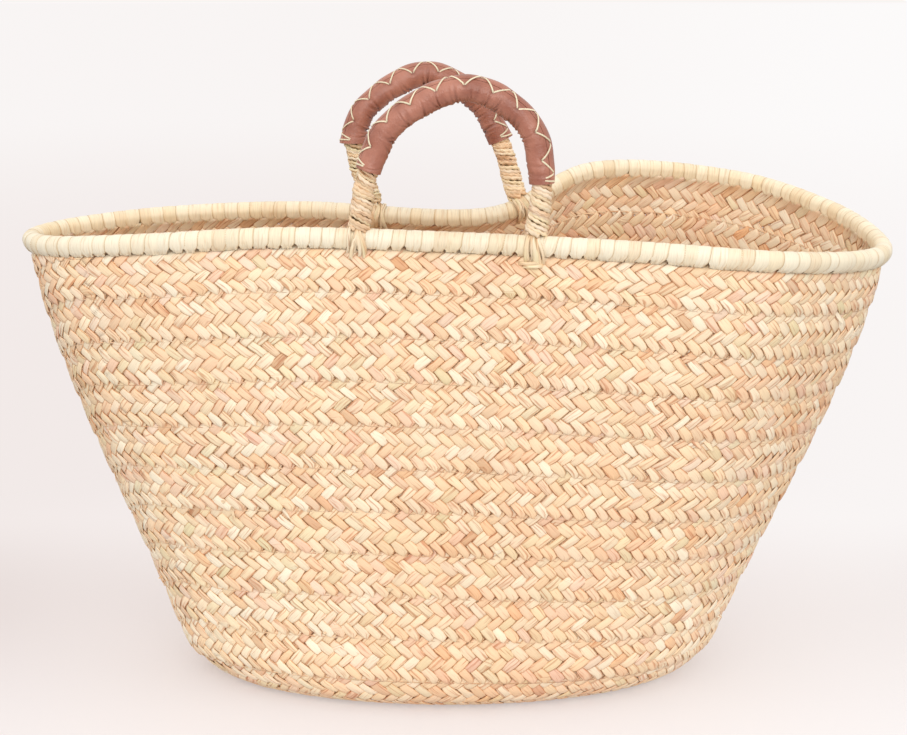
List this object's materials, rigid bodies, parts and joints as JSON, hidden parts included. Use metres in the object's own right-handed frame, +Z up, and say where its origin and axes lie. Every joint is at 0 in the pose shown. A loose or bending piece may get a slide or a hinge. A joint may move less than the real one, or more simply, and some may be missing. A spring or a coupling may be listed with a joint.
{
  "type": "tote basket",
  "caption": "Long oval market basket of plaited palm leaf with a bound rim and two short leather-covered handles that swing on their lashings.",
  "frame": {"origin": "middle of the basket's outline, on the surface it stands on", "axes": "+X along the mouth towards the end beside the pulled-up back rim, -Y the front, +Z up"},
  "size_m": [0.5928, 0.2198, 0.4257],
  "materials": {
    "plait_leaf": "matte",
    "binding_leaf": "satin",
    "fibre_bundle": "matte",
    "leaf_cord": "matte",
    "brown_leather": "satin",
    "lace_thread": "matte"
  },
  "bodies": {
    "basket": {"plait_turn_01": "plait_leaf", "plait_turn_02": "plait_leaf", "plait_turn_03": "plait_leaf", "plait_turn_04": "plait_leaf", "plait_turn_05": "plait_leaf", "plait_turn_06": "plait_leaf", "plait_turn_07": "plait_leaf", "plait_turn_08": "plait_leaf", "plait_turn_09": "plait_leaf", "plait_turn_10": "plait_leaf", "plait_turn_11": "plait_leaf", "plait_turn_12": "plait_leaf", "plait_turn_13": "plait_leaf", "plait_turn_14": "plait_leaf", "rim_bundle": "fibre_bundle", "rim_binding": "binding_leaf", "front_left_lashing": "leaf_cord", "front_right_lashing": "leaf_cord", "back_left_lashing": "leaf_cord", "back_right_lashing": "leaf_cord"},
    "front_handle": {"front_handle_core": "fibre_bundle", "front_leather_sleeve": "brown_leather", "front_sleeve_lacing": "lace_thread", "front_left_leg_winding": "leaf_cord", "front_right_leg_winding": "leaf_cord"},
    "back_handle": {"back_handle_core": "fibre_bundle", "back_leather_sleeve": "brown_leather", "back_sleeve_lacing": "lace_thread", "back_left_leg_winding": "leaf_cord", "back_right_leg_winding": "leaf_cord"}
  },
  "joints": [
    {"name": "front_handle_swing", "type": "hinge", "parent": "basket", "child": "front_handle", "pos_m": [-0.00762, -0.0811, 0.31436], "axis": [0.9979, -0.0555, -0.0331], "range_deg": [-34, 90]},
    {"name": "back_handle_swing", "type": "hinge", "parent": "basket", "child": "back_handle", "pos_m": [-0.00662, 0.06244, 0.31849], "axis": [-0.9947, -0.0767, -0.0681], "range_deg": [-34, 90]}
  ]
}
